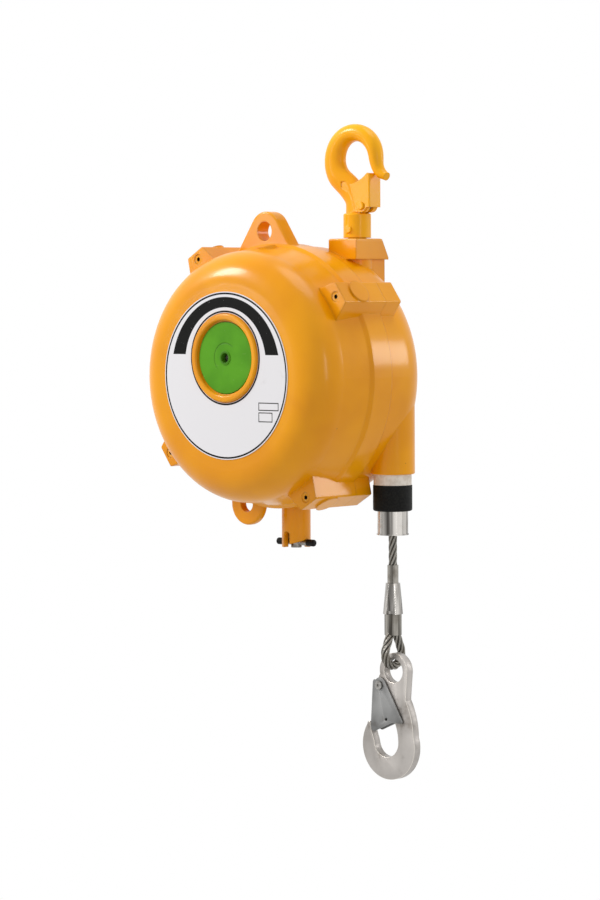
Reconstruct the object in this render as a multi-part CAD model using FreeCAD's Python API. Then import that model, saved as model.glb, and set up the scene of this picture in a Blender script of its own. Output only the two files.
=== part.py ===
import FreeCAD, Part
import math
import os

V = FreeCAD.Vector
os.makedirs("parts", exist_ok=True)

# Tool balancer.  Millimetres, +Z up, +Y towards the rear of the housing.
# The origin is the load seat of the suspension hook: the top of its bowl.

# ---- fits -------------------------------------------------------------------------------
running = 0.05           # radial clearance of a pin or shaft that turns in a bore
seat_gap = 0.05          # clearance of a piece that is fixed in its seat
body_gap = 0.3           # clearance between faces of pieces that move past each other

# ---- housing ----------------------------------------------------------------------------
body_x = -42.0           # housing axis, left of the hook's swivel axis
drum_z = -159.2          # drum and arbor axis below the seat
drum_rise = 14.5         # drum axis above the housing axis
body_z = drum_z - drum_rise
label_rise = 13.0        # drum axis above the label's centre
split_y = -27.0          # joint face between front cover and rear case
cover_depth = 72.0
case_depth = 50.0
wall = 4.5
face_r = 93.0            # cover's side wall at its front corner
rim_r = 98.5             # rim band of the cover at the joint
rim_width = 20.0
rim_step = 2.2
case_r = 96.5
front_corner = 25.0
rear_corner = 30.0

# ---- four screw bosses ------------------------------------------------------------------
screw_pcr = 102.0        # screw circle radius about the housing axis
screw_angles = (-31.4, 54.8, 148.4, 235.0)   # clockwise from the top, seen from the front
boss_front = -72.0
boss_back = -10.5
boss_out = 107.8         # flat outer face, from the housing axis
boss_half = 8.8
boss_flare = 4.2
boss_root = 82.0
pad_r = 9.0
pad_height = 1.2
pad_back = 20.0
screw_r = 2.0
screw_head_r = 3.5
screw_head_h = 4.0
screw_engage = 12.0
socket_flats = 3.0

# ---- secondary suspension lugs ----------------------------------------------------------
lug_thick = 12.0
lug_x = body_x - 8.5
lug_rise = 107.5         # hole axis above the housing axis
lug_hole_r = 7.2
lug_r = 14.7
lug_slope = 34.0
ring_lug_x = body_x - 31.0
ring_lug_drop = 96.5
ring_lug_r = 16.0
ring_lug_hole_r = 6.2
ring_lug_thick = 6.0
ring_lug_ahead = 4.0     # ahead of the middle of the rim band
ring_lug_relief = 1.2    # the rim is scalloped this much wider than the hole

# ---- hanger block -----------------------------------------------------------------------
hanger_top = -72.0
hanger_left = -15.3
hanger_right = 11.6
hanger_front = -14.8
hanger_back = 14.5
hanger_back_low = 22.0
hanger_head = 15.5
hanger_neck_r = 11.0
hanger_floor = 9.0       # metal between the top face and the nut pocket

# ---- rope, guide and tower --------------------------------------------------------------
rope_x = 33.5
rope_r = 3.2
tower_r = 16.6
tower_bottom = -246.0
tower_shoulder = -153.0
tower_peak = -124.0
tower_peak_r = 5.0
guide_r = 14.15
guide_h = 8.0
guide_spigot_r = 10.0
guide_spigot_h = 14.0
guide_bore_r = 4.2
guide_flare_h = 7.0

# ---- lock ------------------------------------------------------------------------------
lock_x = -48.3
lock_y = -15.9
lock_tube_r = 10.9
lock_tube_bore_r = 6.6
lock_tube_bottom = -303.0
lock_tube_top = -250.0
lock_turn_deg = 90.0
lock_drop = 4.2
lock_bar_r = 2.2
lock_grip_r = 2.6
lock_bar_half = 17.5
lock_grip_len = 7.2
lock_bar_z = -299.6
lock_slot_top = -291.0
lock_pin_r = 4.0
lock_pin_top = -235.3
lock_bore_roof = -262.0
lock_groove = 0.8        # depth of the pin's groove for the collar
lock_groove_h = 1.2
lock_collar_r = 6.2
lock_collar_z = -272.0
lock_seat_rise = 3.0     # spring seat above the deep slots
lock_seat_h = 1.2
lock_wire_r = 0.8
lock_spring_turns = 5

# ---- drum, spring and arbor -------------------------------------------------------------
rope_pitch = 7.0
rope_turns = 4
rope_first_y = -9.0      # centre of the turn nearest the front
rope_big_r = 70.0        # rope centre on the largest turn
rope_small_r = 57.0      # rope centre on the smallest turn
run_clear = 29.0         # rope clear of the coil this far past the tangent point
run_bend_r = 60.0
flange_r = 75.0
flange_front = -20.5
groove_gap = 0.1
groove_depth = 1.6
cup_r = 50.0             # bore of the spring cup
cup_wall = 3.5
cup_front = -45.0
cup_floor = 12.0         # inner face of the cup's rear floor
cup_back = 16.0
lid_thick = 3.0
lock_hole_r = 4.8
lock_holes = 8
lock_hole_depth = 12.0
arbor_r = 12.5
arbor_seat_r = 10.0
journal_r = 8.5
arbor_end_gap = 0.4      # arbor end behind the cap
bush_wall = 2.5
strip_thick = 1.6
strip_turns = 9

# ---- bearings ---------------------------------------------------------------------------
bearing_out_r = 20.0
bearing_w = 12.0
bearing_front_y = -92.0
bearing_rear_y = 18.0
ball_r = 3.2
balls = 8
rear_hub_r = 26.0
rear_hub_out = 12.0

# ---- worm drive -------------------------------------------------------------------------
worm_module = 1.8
wheel_teeth = 30
worm_pitch_r = 7.0
worm_y = -58.0
worm_access_x = 2.0      # where its axis leaves the housing, right of the drum axis
worm_access_z = 81.0     # the same, above the drum axis
worm_length = 20.0
worm_shaft_r = 4.0
worm_head_r = 5.5
worm_top = 68.0
worm_tail = 25.0
worm_boss_wall = 2.5
worm_hex = 6.0
backlash = 0.42
wheel_width = 9.0
wheel_hub_r = 15.0
wheel_hub_front = 5.0

# ---- front face -------------------------------------------------------------------------
label_r = 61.4
label_hole_r = 33.0
label_thick = 0.5
cap_r = 26.35
cap_thick = 4.0
cap_hole_r = 3.6
cap_recess = 3.6
bead_out = 32.4
bead_in = 27.6
bead_proud = 2.6
bead_round = 1.3

# ---- suspension hook --------------------------------------------------------------------
bowl_x = -1.3
bowl_r = 20.1            # centre line of the hook's bowl
bowl_back = 9.0          # half depth of the section at the back of the bowl
bowl_top = 6.5           # half depth at the load seat
bowl_nose = 5.4
hook_half_y = 6.4
neck_half = 10.2
neck_half_y = 4.9
neck_bottom = -53.2
shank_r = 7.0
shank_thread_r = 5.0
latch_pin_x = 9.5
latch_pin_z = -47.9
latch_pin_r = 2.0
latch_boss_r = 5.0
latch_sheet = 1.4
latch_out_x = 17.6       # outer face of the latch's folded back
latch_top_z = -24.1
latch_flat_top = -29.5   # the flats that the latch's cheeks run over end here
latch_slot = 1.9         # half width of the slot for the latch spring
latch_wire_r = 0.5
latch_foot_z = -49.0
collar_r = 10.3
collar_bottom = -71.4
collar_pin_r = 2.6
collar_pin_head_r = 3.2
collar_pin_z = -65.2
nut_r = 8.6
nut_h = 7.0
washer_h = 2.0
nut_pocket_r = 9.4

# ---- load line --------------------------------------------------------------------------
bumper_r = 14.55
bumper_h = 19.0
sleeve_r = 11.4
sleeve_bottom = -291.0
sleeve_lap = 6.0
sleeve_lip = 0.5
tail_bottom = -313.5
ferrule_r = 4.1
cone_top = -326.8
cone_top_r = 5.35
cone_bottom_r = 7.45
crimp_top = -349.8
crimp_r = 6.4
crimp_bottom = -365.4
eye_bend_r = 9.2         # centre line of the rope eye's bend
eye_bend_z = -379.3
eye_start_y = 3.3

# ---- load hook --------------------------------------------------------------------------
plate_half = 3.5
eye_hole_r = 8.9
eye_r = 13.2
eye_hang = 3.3           # hole's centre below the lowest point of the rope's centre line
eye_x = rope_x + 3.0     # centre of the hole in the plate
eye_z = eye_bend_z - eye_bend_r - eye_hang
safety_x = -12.6         # latch pin from the hole's centre
safety_z = -11.4
safety_lug_r = 4.2
safety_pin_r = 1.9
safety_head_r = 3.2
safety_sheet = 1.3
safety_slot = 1.9
safety_wire_r = 0.4


# ---- helpers ----------------------------------------------------------------------------
def cyl_y(radius, x, z, y0, y1):
    return Part.makeCylinder(radius, y1 - y0, V(x, y0, z), V(0, 1, 0))


def cyl_z(radius, x, y, z0, z1):
    return Part.makeCylinder(radius, z1 - z0, V(x, y, z0))


def tube_y(outer, inner, x, z, y0, y1):
    return cyl_y(outer, x, z, y0, y1).cut(cyl_y(inner, x, z, y0 - 1, y1 + 1))


def tube_z(outer, inner, x, y, z0, z1):
    return cyl_z(outer, x, y, z0, z1).cut(cyl_z(inner, x, y, z0 - 1, z1 + 1))


def box(x0, x1, y0, y1, z0, z1):
    return Part.makeBox(x1 - x0, y1 - y0, z1 - z0, V(x0, y0, z0))


def turned(profile, x, z):
    """Revolve a closed (radius, y) outline about the Y-parallel axis through x, z.
    A step is a point, or a pair of points for an arc through the first."""
    edges = []
    last = V(profile[0][0], profile[0][1], 0)
    for step in profile[1:] + [profile[0]]:
        if isinstance(step[0], tuple):
            mid, end = (V(r, y, 0) for r, y in step)
            edges.append(Part.Arc(last, mid, end).toShape())
        else:
            end = V(step[0], step[1], 0)
            edges.append(Part.LineSegment(last, end).toShape())
        last = end
    solid = Part.Face(Part.Wire(edges)).revolve(V(0, 0, 0), V(0, 1, 0), 360)
    solid.translate(V(x, 0, z))
    return solid


def flat_piece(path, y0, y1, x=0.0, z=0.0):
    """Extrude along Y a closed outline in X, Z.  Steps are as in turned()."""
    edges = []
    last = V(x + path[0][0], y0, z + path[0][1])
    for step in path[1:] + [path[0]]:
        if isinstance(step[0], tuple):
            mid, end = (V(x + u, y0, z + v) for u, v in step)
            edges.append(Part.Arc(last, mid, end).toShape())
        else:
            end = V(x + step[0], y0, z + step[1])
            if end.distanceToPoint(last) < 1e-6:
                continue
            edges.append(Part.LineSegment(last, end).toShape())
        last = end
    return Part.Face(Part.Wire(edges)).extrude(V(0, y1 - y0, 0))


def arc_point(cx, cz, radius, degrees):
    """Point on a circle, the angle counted from +X towards +Z."""
    a = math.radians(degrees)
    return (cx + radius * math.cos(a), cz + radius * math.sin(a))


def corner(cr, cy, radius, sign):
    """Middle of the quarter round between the side wall and an end wall of a shell."""
    d = radius * math.sqrt(0.5)
    return (cr + d, cy + sign * d)


def around_body(shape, clockwise):
    """Turn a piece modelled straight above the housing axis to its place round it."""
    out = shape.copy()
    out.rotate(V(body_x, 0, body_z), V(0, 1, 0), clockwise)
    return out


def tube_along(points, radius):
    """Round cord along straight runs; each step is a point or (middle, end) of an arc."""
    edges = []
    last = points[0]
    for step in points[1:]:
        if isinstance(step, tuple):
            edges.append(Part.Arc(last, step[0], step[1]).toShape())
            last = step[1]
        else:
            edges.append(Part.LineSegment(last, step).toShape())
            last = step
    path = Part.Wire(edges)
    start = edges[0].tangentAt(edges[0].FirstParameter)
    circle = Part.Wire(Part.makeCircle(radius, points[0], start))
    return path.makePipeShell([circle], True, True)


def rounded(shape, radius, picks):
    """Fillet the edges whose centre of mass passes the test."""
    edges = [e for e in shape.Edges if picks(e.CenterOfMass, e)]
    return shape.makeFillet(radius, edges) if edges else shape


# ---- housing shells ---------------------------------------------------------------------
cover_front = split_y - cover_depth
case_back = split_y + case_depth
ridge_y = split_y - rim_width
ring_lug_front = ridge_y + (rim_width - ring_lug_thick) / 2 - ring_lug_ahead
ring_lug_back = ring_lug_front + ring_lug_thick


def cover_shell():
    flat_r = face_r - front_corner
    round_y = cover_front + front_corner
    side_r = rim_r - rim_step
    outer_mid = corner(flat_r, round_y, front_corner, -1)
    inner_mid = corner(flat_r, round_y, front_corner - wall, -1)
    return turned([
        (0, cover_front),
        (flat_r, cover_front),
        (outer_mid, (face_r, round_y)),
        (side_r, ridge_y - rim_step),
        (rim_r, ridge_y),
        (rim_r, split_y),
        (rim_r - wall - rim_step, split_y),
        (face_r - wall, round_y),
        (inner_mid, (flat_r, cover_front + wall)),
        (0, cover_front + wall),
    ], body_x, body_z)


def case_shell():
    flat_r = case_r - rear_corner
    round_y = case_back - rear_corner
    outer_mid = corner(flat_r, round_y, rear_corner, 1)
    inner_mid = corner(flat_r, round_y, rear_corner - wall, 1)
    return turned([
        (0, case_back - wall),
        (flat_r, case_back - wall),
        (inner_mid, (case_r - wall, round_y)),
        (case_r - wall, split_y),
        (case_r, split_y),
        (case_r, round_y),
        (outer_mid, (flat_r, case_back)),
        (0, case_back),
    ], body_x, body_z)


def boss_block(y0, y1):
    """Screw boss, modelled above the housing axis, with sides that flare inwards."""
    height = boss_out - boss_root
    foot = boss_half + boss_flare * height / 12.0
    block = flat_piece([(-foot, boss_root), (-boss_half, boss_out), (boss_half, boss_out),
                        (foot, boss_root)], y0, y1, body_x, body_z)
    top_edges = lambda c, e: c.z > body_z + boss_out - 0.1 and abs(c.x - body_x) > boss_half - 0.1
    return rounded(block, 1.5, top_edges)


def screw_hole(radius, y0, y1):
    return cyl_y(radius, body_x, body_z + screw_pcr, y0, y1)


worm_angle = math.degrees(math.atan2(worm_access_z, worm_access_x))
wheel_pitch_r = worm_module * wheel_teeth / 2
centre_distance = wheel_pitch_r + worm_pitch_r
access_r = math.hypot(worm_access_x, worm_access_z)
foot_angle = worm_angle - math.degrees(math.acos(centre_distance / access_r))
worm_foot = V(body_x + centre_distance * math.cos(math.radians(foot_angle)), worm_y,
              drum_z + centre_distance * math.sin(math.radians(foot_angle)))
worm_dir = V(-math.sin(math.radians(foot_angle)), 0, math.cos(math.radians(foot_angle)))
worm_reach = math.sqrt(access_r ** 2 - centre_distance ** 2)


def along_worm(radius, t0, t1):
    return Part.makeCylinder(radius, t1 - t0, worm_foot + worm_dir * t0, worm_dir)


bush_low = (-worm_tail, -worm_length / 2 - 6.0)
bush_high = (worm_length / 2 + 6.0, worm_length / 2 + 15.0)
worm_bush_r = worm_shaft_r + 2.0


def lug_plate():
    """Triangular lug with a round top, tangent to both slanted sides."""
    z0 = body_z + rim_r - 14
    hole_z = body_z + lug_rise
    a = math.radians(lug_slope)
    tx, tz = lug_r * math.cos(a), lug_r * math.sin(a)
    run = (hole_z + tz - z0) * math.tan(a)
    plate = flat_piece([(-tx - run, z0 - hole_z), (-tx, tz), ((0, lug_r), (tx, tz)),
                        (tx + run, z0 - hole_z)],
                       ridge_y, ridge_y + lug_thick, lug_x, hole_z)
    plate = rounded(plate, 1.6, lambda c, e: abs(c.y - ridge_y - lug_thick / 2) > lug_thick / 2 - 0.1
                    and c.z > z0 + 1)
    return plate


def ring_lug():
    """Round-bottomed safety lug under the housing."""
    z = body_z - ring_lug_drop
    r = ring_lug_r
    plate = flat_piece([(-r, 24), (-r, 0), ((0, -r), (r, 0)), (r, 24)],
                       ring_lug_front, ring_lug_back, ring_lug_x, z)
    on_face = lambda y: min(abs(y - ring_lug_front), abs(y - ring_lug_back)) < 0.1
    plate = rounded(plate, 1.5, lambda c, e: on_face(c.y) and c.z < z + 20)
    return plate


def front_cover():
    shell = cover_shell()
    for angle in screw_angles:
        shell = shell.fuse(around_body(boss_block(boss_front, split_y), angle))
        pad_y = boss_front + pad_back
        pad = cyl_z(pad_r, body_x, pad_y, body_z + boss_out - 2, body_z + boss_out + pad_height)
        shell = shell.fuse(around_body(pad, angle))
    shell = shell.fuse(lug_plate()).fuse(ring_lug())
    # hub for the front bearing, and the bead round the cap
    hub = cyl_y(bearing_out_r + wall + 1, body_x, drum_z, cover_front + 1, bearing_front_y + bearing_w)
    bead = tube_y(bead_out, bead_in, body_x, drum_z, cover_front - bead_proud, cover_front + 1)
    bead = rounded(bead, bead_round, lambda c, e: c.y < cover_front - bead_proud + 0.1)
    # worm bearings: one hangs from the side wall, one stands on the front wall
    high = along_worm(worm_bush_r + worm_boss_wall, bush_high[0], worm_reach - 2)
    low = along_worm(worm_bush_r + worm_boss_wall, *bush_low)
    foot = worm_foot + worm_dir * bush_low[0]
    rib_half = worm_bush_r + worm_boss_wall
    rib = Part.makeBox(2 * rib_half, worm_y - cover_front - 1, bush_low[1] - bush_low[0])
    rib.translate(V(-rib_half, 0, 0))
    rib.rotate(V(0, 0, 0), V(0, 1, 0), -foot_angle)
    rib.translate(V(foot.x, cover_front + 1, foot.z))
    shell = shell.fuse(hub.fuse([high, low, rib])).fuse(bead)
    # inside of the bosses is trimmed away where it would stand in the shell
    trimmed = turned([(0, cover_front + wall + 20), (face_r - wall - 1.0, cover_front + wall + 20),
                      (rim_r - wall - rim_step - 0.6, split_y + 1), (0, split_y + 1)], body_x, body_z)
    keep = hub.fuse([high, low, rib])
    shell = shell.cut(trimmed.cut(keep))
    # holes
    for angle in screw_angles:
        hole = screw_hole(screw_r + 0.25, boss_front - 1, split_y + 1)
        sink = screw_hole(screw_head_r + 0.15, boss_front - 1, boss_front + screw_head_h + 0.4)
        shell = shell.cut(around_body(hole.fuse(sink), angle))
    shell = shell.cut(cyl_y(lug_hole_r, lug_x, body_z + lug_rise, ridge_y - 1, ridge_y + lug_thick + 1))
    # the rim and the wall are scalloped fore and aft of the lower lug, so that a pin passes its hole
    relief_r = ring_lug_hole_r + ring_lug_relief
    lug_z = body_z - ring_lug_drop
    shell = shell.cut(cyl_y(ring_lug_hole_r, ring_lug_x, lug_z, ring_lug_front - 1, ring_lug_back + 1))
    shell = shell.cut(cyl_y(relief_r, ring_lug_x, lug_z, cover_front, ring_lug_front))
    shell = shell.cut(cyl_y(relief_r, ring_lug_x, lug_z, ring_lug_back, split_y + 1))
    shell = shell.cut(cyl_y(cap_r + 0.3, body_x, drum_z, cover_front - 5, cover_front + cap_recess))
    shell = shell.cut(cyl_y(journal_r + 1, body_x, drum_z, cover_front - 1, split_y))
    shell = shell.cut(cyl_y(bearing_out_r + seat_gap, body_x, drum_z, bearing_front_y, split_y))
    shell = shell.cut(along_worm(worm_bush_r + seat_gap, bush_low[0] - 5, bush_high[1]))
    shell = shell.cut(along_worm(worm_head_r + 1, bush_high[1], worm_reach + 12))
    return shell


def rear_case():
    case = case_shell()
    for angle in screw_angles:
        case = case.fuse(around_body(boss_block(split_y, boss_back), angle))
    # rope tower: a round column with a coned shoulder, joined to the case by a web
    tower = cyl_z(tower_r, rope_x, 0, tower_bottom, tower_shoulder)
    shoulder = Part.makeCone(tower_r, tower_peak_r, tower_peak - tower_shoulder,
                             V(rope_x, 0, tower_shoulder))
    tower = rounded(tower, 1.2, lambda c, e: c.z < tower_bottom + 0.1)
    web = flat_piece([(rope_x - 4, tower_bottom + 6), (rope_x - 16, tower_bottom + 10),
                      ((rope_x - 30, tower_bottom + 16), (rope_x - 50, tower_bottom + 14)),
                      (rope_x - 40, tower_bottom + 50), (rope_x - 4, tower_bottom + 60)],
                     -10, 10)
    # hanger: a square head over a round neck that runs down into the case
    head = flat_piece([(hanger_left, hanger_top), (hanger_right, hanger_top),
                       (hanger_right, hanger_top - hanger_head),
                       (hanger_left, hanger_top - hanger_head)], hanger_front, hanger_back_low)
    slope = Part.Face(Part.makePolygon([
        V(hanger_left - 1, hanger_back, hanger_top + 0.1),
        V(hanger_left - 1, hanger_back_low + 1, hanger_top + 0.1),
        V(hanger_left - 1, hanger_back_low + 1, hanger_top - hanger_head + 1.5),
        V(hanger_left - 1, hanger_back_low, hanger_top - hanger_head + 1.5),
        V(hanger_left - 1, hanger_back, hanger_top + 0.1)]))
    head = head.cut(slope.extrude(V(hanger_right - hanger_left + 2, 0, 0)))
    head = rounded(head, 1.2, lambda c, e: c.z > hanger_top - 0.1)
    neck_top = hanger_top - hanger_head
    neck = cyl_z(hanger_neck_r, 0, 0, neck_top - 30, neck_top)
    back_web = box(hanger_left + 3, hanger_right - 2.5, 0, hanger_back_low - 1.5, neck_top - 34, neck_top)
    left_web = box(hanger_left, 0, -6, 12, neck_top - 20, neck_top)
    case = case.fuse([tower, shoulder, web, head, neck, back_web, left_web])
    # lock tube and rear bearing hub
    lock = cyl_z(lock_tube_r, lock_x, lock_y, lock_tube_bottom, lock_tube_top)
    hub = cyl_y(rear_hub_r, body_x, drum_z, case_back - wall, case_back + rear_hub_out)
    hub = rounded(hub, 3, lambda c, e: c.y > case_back + rear_hub_out - 0.1)
    case = case.fuse([lock, hub])
    # hollow: the case's inside is cleared of everything but the lock tube
    flat_r = case_r - rear_corner
    round_y = case_back - rear_corner
    inner_mid = corner(flat_r, round_y, rear_corner - wall, 1)
    hollow = turned([(0, split_y - 1), (case_r - wall, split_y - 1), (case_r - wall, round_y),
                     (inner_mid, (flat_r, case_back - wall)), (0, case_back - wall)], body_x, body_z)
    case = case.cut(hollow.cut(lock))
    # bores
    for angle in screw_angles:
        case = case.cut(around_body(screw_hole(screw_r + seat_gap, split_y - 1, split_y + screw_engage + 1),
                                    angle))
    case = case.cut(cyl_z(shank_r + running, 0, 0, hanger_top - 20, hanger_top + 1))
    case = case.cut(cyl_z(nut_pocket_r, 0, 0, hanger_top - 40, hanger_top - hanger_floor))
    case = case.cut(cyl_z(guide_spigot_r + seat_gap, rope_x, 0, tower_bottom - 1, tower_shoulder - 22))
    case = case.cut(cyl_y(bearing_out_r + seat_gap, body_x, drum_z, case_back - wall - 1,
                          bearing_rear_y + bearing_w))
    # spot face for the rope guide
    case = case.cut(cyl_z(guide_r + body_gap, rope_x, 0, tower_bottom - guide_h - body_gap, tower_bottom))
    # the tube that holds the lock: bore, two deep slots and two ramps
    case = case.cut(cyl_z(lock_tube_bore_r, lock_x, lock_y, lock_tube_bottom - 1, lock_bore_roof))
    case = case.cut(cyl_z(lock_pin_r + running, lock_x, lock_y, lock_bore_roof - 1, lock_tube_top + 1))
    case = case.cut(lock_slots())
    return case


def lock_slots():
    """Two deep slots fore and aft, and two ramps that turn the bar down into them."""
    half = lock_bar_r + 0.35
    low = lock_tube_bottom - 1
    reach = lock_tube_r + 1
    deep = box(lock_x - half, lock_x + half, lock_y - reach, lock_y + reach, low, lock_slot_top - half)
    deep = deep.fuse(cyl_y(half, lock_x, lock_slot_top - half, lock_y - reach, lock_y + reach))
    cuts = deep
    steps = 12
    for side in (0, 180):
        for k in range(steps + 1):
            share = k / steps
            angle = side - lock_turn_deg * share
            top = lock_bar_z - lock_drop * share
            a0 = math.radians(angle)
            seat = Part.makeCylinder(half, reach, V(lock_x, lock_y, top), V(math.cos(a0), math.sin(a0), 0))
            drop = box(0, reach, -half, half, low - 6, top)
            drop.rotate(V(0, 0, 0), V(0, 0, 1), angle)
            drop.translate(V(lock_x, lock_y, 0))
            cuts = cuts.fuse(seat.fuse(drop))
    return cuts


def case_screws():
    length = split_y + screw_engage - boss_front
    screws = []
    for angle in screw_angles:
        shank = cyl_y(screw_r, body_x, body_z + screw_pcr, boss_front + 0.4, boss_front + length)
        head = cyl_y(screw_head_r, body_x, body_z + screw_pcr, boss_front + 0.4,
                     boss_front + 0.4 + screw_head_h)
        socket = hex_prism(socket_flats, body_x, body_z + screw_pcr, boss_front, boss_front + 2.6)
        screws.append(around_body(head.fuse(shank).cut(socket), angle))
    return Part.makeCompound(screws)


def hex_prism(flats, x, z, y0, y1):
    r = flats / math.sqrt(3)
    pts = [arc_point(0, 0, r, 60 * k) for k in range(6)]
    return flat_piece(pts, y0, y1, x, z)


# ---- lock -------------------------------------------------------------------------------
def lock_pin():
    rod = cyl_z(lock_pin_r, lock_x, lock_y, lock_bar_z - 4, lock_pin_top)
    rod = rod.cut(Part.makeCylinder(lock_bar_r + seat_gap, 2 * lock_pin_r + 2,
                                    V(lock_x - lock_pin_r - 1, lock_y, lock_bar_z), V(1, 0, 0)))
    groove_top = lock_collar_z + lock_groove_h
    rod = rod.cut(tube_z(lock_pin_r + 1, lock_pin_r - lock_groove, lock_x, lock_y, lock_collar_z, groove_top))
    return rounded(rod, 1.0, lambda c, e: c.z > lock_pin_top - 0.1)


def lock_bar():
    return Part.makeCylinder(lock_bar_r, 2 * lock_bar_half, V(lock_x - lock_bar_half, lock_y, lock_bar_z),
                             V(1, 0, 0))


def lock_grips():
    grips = []
    for side in (-1, 1):
        x0 = lock_x + side * (lock_bar_half + 1.2)
        grip = Part.makeCylinder(lock_grip_r, lock_grip_len, V(x0, lock_y, lock_bar_z), V(-side, 0, 0))
        grip = rounded(grip, 1.2, lambda c, e: abs(c.x - x0) < 0.1)
        bore = Part.makeCylinder(lock_bar_r + seat_gap, lock_grip_len, V(x0 - side * 1.2, lock_y, lock_bar_z),
                                 V(-side, 0, 0))
        grips.append(grip.cut(bore))
    return Part.makeCompound(grips)


def lock_collar():
    """Washer in the pin's groove, which the spring lifts while the pin turns in it."""
    return tube_z(lock_collar_r, lock_pin_r - lock_groove + running, lock_x, lock_y,
                  lock_collar_z + seat_gap, lock_collar_z + lock_groove_h - seat_gap)


def lock_seat():
    """Ring fixed in the tube's bore, which the spring stands on."""
    foot = lock_slot_top + lock_seat_rise
    return tube_z(lock_tube_bore_r - seat_gap, lock_pin_r + running, lock_x, lock_y, foot, foot + lock_seat_h)


def coil(radius, wire, x, y, z0, z1, turns):
    """Compression spring with its axis along Z."""
    pitch = (z1 - z0 - 2 * wire) / turns
    helix = Part.makeHelix(pitch, pitch * turns, radius)
    circle = Part.Wire(Part.makeCircle(wire, V(radius, 0, 0), V(0, radius, pitch / (2 * math.pi))))
    spring = Part.Wire(helix).makePipeShell([circle], True, True)
    spring.translate(V(x, y, z0 + wire))
    return spring


def lock_spring():
    seat_top = lock_slot_top + lock_seat_rise + lock_seat_h
    return coil((lock_pin_r + lock_tube_bore_r) / 2, lock_wire_r, lock_x, lock_y, seat_top + seat_gap,
                lock_collar_z, lock_spring_turns)


# ---- drum, spring and arbor -------------------------------------------------------------
def turn_place(k):
    """Y and rope radius of the k-th turn on the tapered drum."""
    share = k / (rope_turns - 1)
    return rope_first_y + k * rope_pitch, rope_big_r + (rope_small_r - rope_big_r) * share


def drum():
    """Tapered rope drum with a groove for each turn, a spring cup inside and a lock flange."""
    groove_r = rope_r + groove_gap
    taper = (rope_small_r - rope_big_r) / (rope_pitch * (rope_turns - 1))
    crest = lambda y: rope_big_r + taper * (y - rope_first_y) - rope_r + groove_depth
    flange_back = rope_first_y - rope_pitch / 2
    last_y, last_r = turn_place(rope_turns - 1)
    neck_r = cup_r + cup_wall
    body = turned([
        (neck_r, cup_front), (neck_r, flange_front), (flange_r, flange_front),
        (flange_r, flange_back), (crest(flange_back), flange_back),
        (crest(last_y + rope_pitch / 2), last_y + rope_pitch / 2),
        (last_r + 1.0, last_y + rope_pitch / 2 + 0.6), (last_r + 1.0, cup_back + 1.6),
        (cup_r - 4, cup_back + 1.6), (cup_r - 10, cup_back),
        (arbor_seat_r + bush_wall + seat_gap, cup_back), (arbor_seat_r + bush_wall + seat_gap, cup_floor),
        (cup_r, cup_floor), (cup_r, cup_front),
    ], body_x, drum_z)
    for k in range(rope_turns):
        y, r = turn_place(k)
        groove = Part.makeTorus(r, groove_r, V(body_x, y, drum_z), V(0, 1, 0))
        body = body.cut(groove)
    for k in range(lock_holes):
        hole = cyl_z(lock_hole_r, body_x, lock_y, drum_z - flange_r - 1, drum_z - flange_r + lock_hole_depth)
        hole.rotate(V(body_x, 0, drum_z), V(0, 1, 0), 360 / lock_holes * k + lock_hole_turn)
        body = body.cut(hole)
    return body


# the lock pin stands beside the drum's lowest point, so the ring of holes is turned to meet it
lock_hole_turn = math.degrees(math.asin((body_x - lock_x) / (flange_r - lock_hole_depth / 2)))


def drum_lid():
    """Front plate of the spring cup, held in a step by its rim."""
    bore = arbor_r + bush_wall + seat_gap
    return turned([
        (bore, cup_front - lid_thick - 3), (bore + 5, cup_front - lid_thick - 3),
        (bore + 5, cup_front - lid_thick), (cup_r + cup_wall, cup_front - lid_thick),
        (cup_r + cup_wall, cup_front), (cup_r - seat_gap, cup_front), (cup_r - seat_gap, cup_front + 2),
        (cup_r - 4, cup_front + 2), (cup_r - 4, cup_front), (bore, cup_front),
    ], body_x, drum_z)


def drum_bushes():
    front = tube_y(arbor_r + bush_wall, arbor_r + running, body_x, drum_z,
                   cup_front - lid_thick - 3, cup_front)
    rear = tube_y(arbor_seat_r + bush_wall, arbor_seat_r + running, body_x, drum_z, cup_floor, cup_back)
    return Part.makeCompound([front, rear])


def power_spring():
    """Flat strip wound as a spiral from the arbor out to the cup's wall."""
    inner = arbor_r + 3.0
    outer = cup_r - strip_thick - 0.3
    steps = strip_turns * 12
    def edge(extra):
        pts = []
        for k in range(steps + 1):
            a = 2 * math.pi * k / 12
            r = inner + (outer - inner) * k / steps + extra
            pts.append(V(body_x + r * math.cos(a), cup_front + 2.5, drum_z + r * math.sin(a)))
        curve = Part.BSplineCurve()
        curve.interpolate(pts)
        return curve.toShape(), pts
    low, low_pts = edge(0)
    high, high_pts = edge(strip_thick)
    ends = [Part.LineSegment(low_pts[-1], high_pts[-1]).toShape(),
            Part.LineSegment(high_pts[0], low_pts[0]).toShape()]
    face = Part.Face(Part.Wire([low, ends[0], high, ends[1]]))
    return face.extrude(V(0, cup_floor - cup_front - 3.5, 0))


def rope_on_drum():
    rings = []
    for k in range(rope_turns):
        y, r = turn_place(k)
        rings.append(Part.makeTorus(r, rope_r, V(body_x, y, drum_z), V(0, 1, 0)))
    return Part.makeCompound(rings)


def arbor():
    front = cover_front + cap_recess + arbor_end_gap
    hub_back = cup_floor - 0.4
    return turned([
        (0, front), (journal_r - running, front),
        (journal_r - running, bearing_front_y + bearing_w + 0.5),
        (arbor_seat_r, bearing_front_y + bearing_w + 0.5),
        (arbor_seat_r, cup_front - lid_thick - 3.6), (arbor_r, cup_front - lid_thick - 3.6),
        (arbor_r, hub_back), (arbor_seat_r, hub_back), (arbor_seat_r, bearing_rear_y - 0.2),
        (journal_r - running, bearing_rear_y - 0.2), (journal_r - running, bearing_rear_y + bearing_w),
        (0, bearing_rear_y + bearing_w),
    ], body_x, drum_z)


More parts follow.
